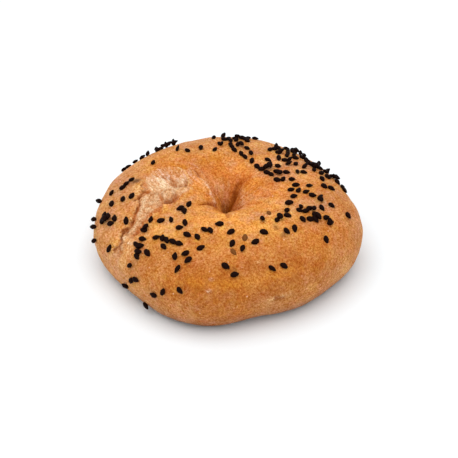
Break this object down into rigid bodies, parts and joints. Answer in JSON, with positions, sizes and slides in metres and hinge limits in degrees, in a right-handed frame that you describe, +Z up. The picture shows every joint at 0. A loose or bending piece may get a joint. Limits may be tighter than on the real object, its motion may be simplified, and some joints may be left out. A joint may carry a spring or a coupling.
{
  "type": "acma bread ring",
  "caption": "Soft baked bread ring with a nearly closed hole, an open torn seam on its top and black seeds on its crust; rests on its flat sole.",
  "frame": {"origin": "middle of the bread's box at its sole, on the surface it stands on", "axes": "+Z up; +X to the right and +Y away from someone who has the torn seam on their left"},
  "size_m": [0.1102, 0.1, 0.0348],
  "materials": {
    "crust": "satin egg-washed baked crust, golden brown, paler at the sole and in the torn seam",
    "seed": "matt black, finely netted seed coat"
  },
  "bodies": {
    "root": {"bread": "crust"}
  },
  "joints": []
}
